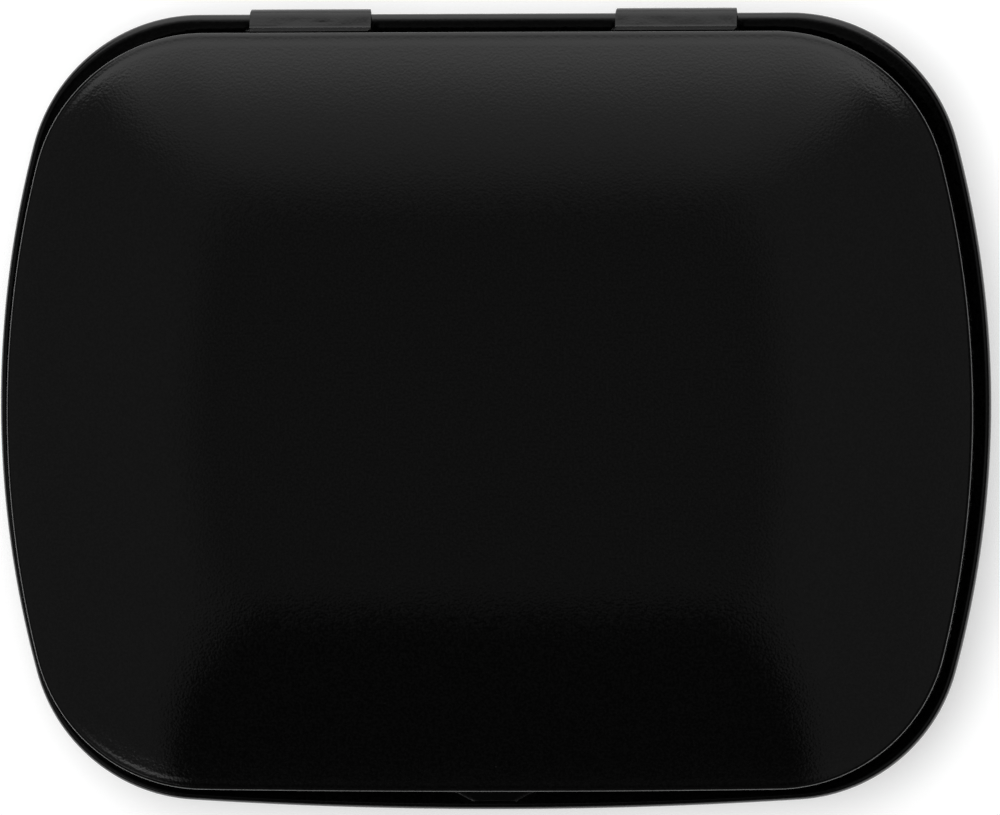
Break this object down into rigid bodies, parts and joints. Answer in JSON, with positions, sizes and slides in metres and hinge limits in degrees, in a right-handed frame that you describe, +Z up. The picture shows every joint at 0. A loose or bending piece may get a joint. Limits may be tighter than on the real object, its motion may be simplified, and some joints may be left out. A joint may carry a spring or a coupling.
{
  "type": "hinged mint tin",
  "caption": "Small flat tin for mints: drawn tray with a rim bead, domed lid hinged on the bead at the back, thumb lip at the front, loose mints inside.",
  "frame": {"origin": "middle of the tin's underside, on the surface that it stands on", "axes": "+Z up, +Y towards the hinge at the back, -Y towards the thumb lip at the front, X along the tin's length and along the hinge's axis"},
  "size_m": [0.0604, 0.0486, 0.015],
  "materials": {
    "tray_lacquer": "satin black lacquer outside, bare tinplate inside",
    "lid_lacquer": "satin black lacquer outside, bare tinplate inside",
    "pressed_mint": "dry, faintly chalky pressed tablet"
  },
  "bodies": {
    "tray": {"base_tray": "tray_lacquer", "mint_01": "pressed_mint", "mint_02": "pressed_mint", "mint_03": "pressed_mint", "mint_04": "pressed_mint", "mint_05": "pressed_mint", "mint_06": "pressed_mint", "mint_07": "pressed_mint", "mint_08": "pressed_mint", "mint_09": "pressed_mint", "mint_10": "pressed_mint", "mint_11": "pressed_mint", "mint_12": "pressed_mint", "mint_13": "pressed_mint", "mint_14": "pressed_mint", "mint_15": "pressed_mint", "mint_16": "pressed_mint", "mint_17": "pressed_mint", "mint_18": "pressed_mint", "mint_19": "pressed_mint", "mint_20": "pressed_mint", "mint_21": "pressed_mint", "mint_22": "pressed_mint", "mint_23": "pressed_mint", "mint_24": "pressed_mint", "mint_25": "pressed_mint", "mint_26": "pressed_mint", "mint_27": "pressed_mint", "mint_28": "pressed_mint", "mint_29": "pressed_mint", "mint_30": "pressed_mint", "mint_31": "pressed_mint", "mint_32": "pressed_mint", "mint_33": "pressed_mint", "mint_34": "pressed_mint", "mint_35": "pressed_mint", "mint_36": "pressed_mint", "mint_37": "pressed_mint", "mint_38": "pressed_mint", "mint_39": "pressed_mint", "mint_40": "pressed_mint", "mint_41": "pressed_mint", "mint_42": "pressed_mint", "mint_43": "pressed_mint", "mint_44": "pressed_mint", "mint_45": "pressed_mint", "mint_46": "pressed_mint", "mint_47": "pressed_mint", "mint_48": "pressed_mint", "mint_49": "pressed_mint", "mint_50": "pressed_mint", "mint_51": "pressed_mint", "mint_52": "pressed_mint", "mint_53": "pressed_mint"},
    "lid": {"lid": "lid_lacquer"}
  },
  "joints": [
    {"name": "lid_hinge", "type": "hinge", "parent": "tray", "child": "lid", "pos_m": [0, 0.02353, 0.00857], "axis": [-1, 0, 0], "range_deg": [0, 105]}
  ]
}
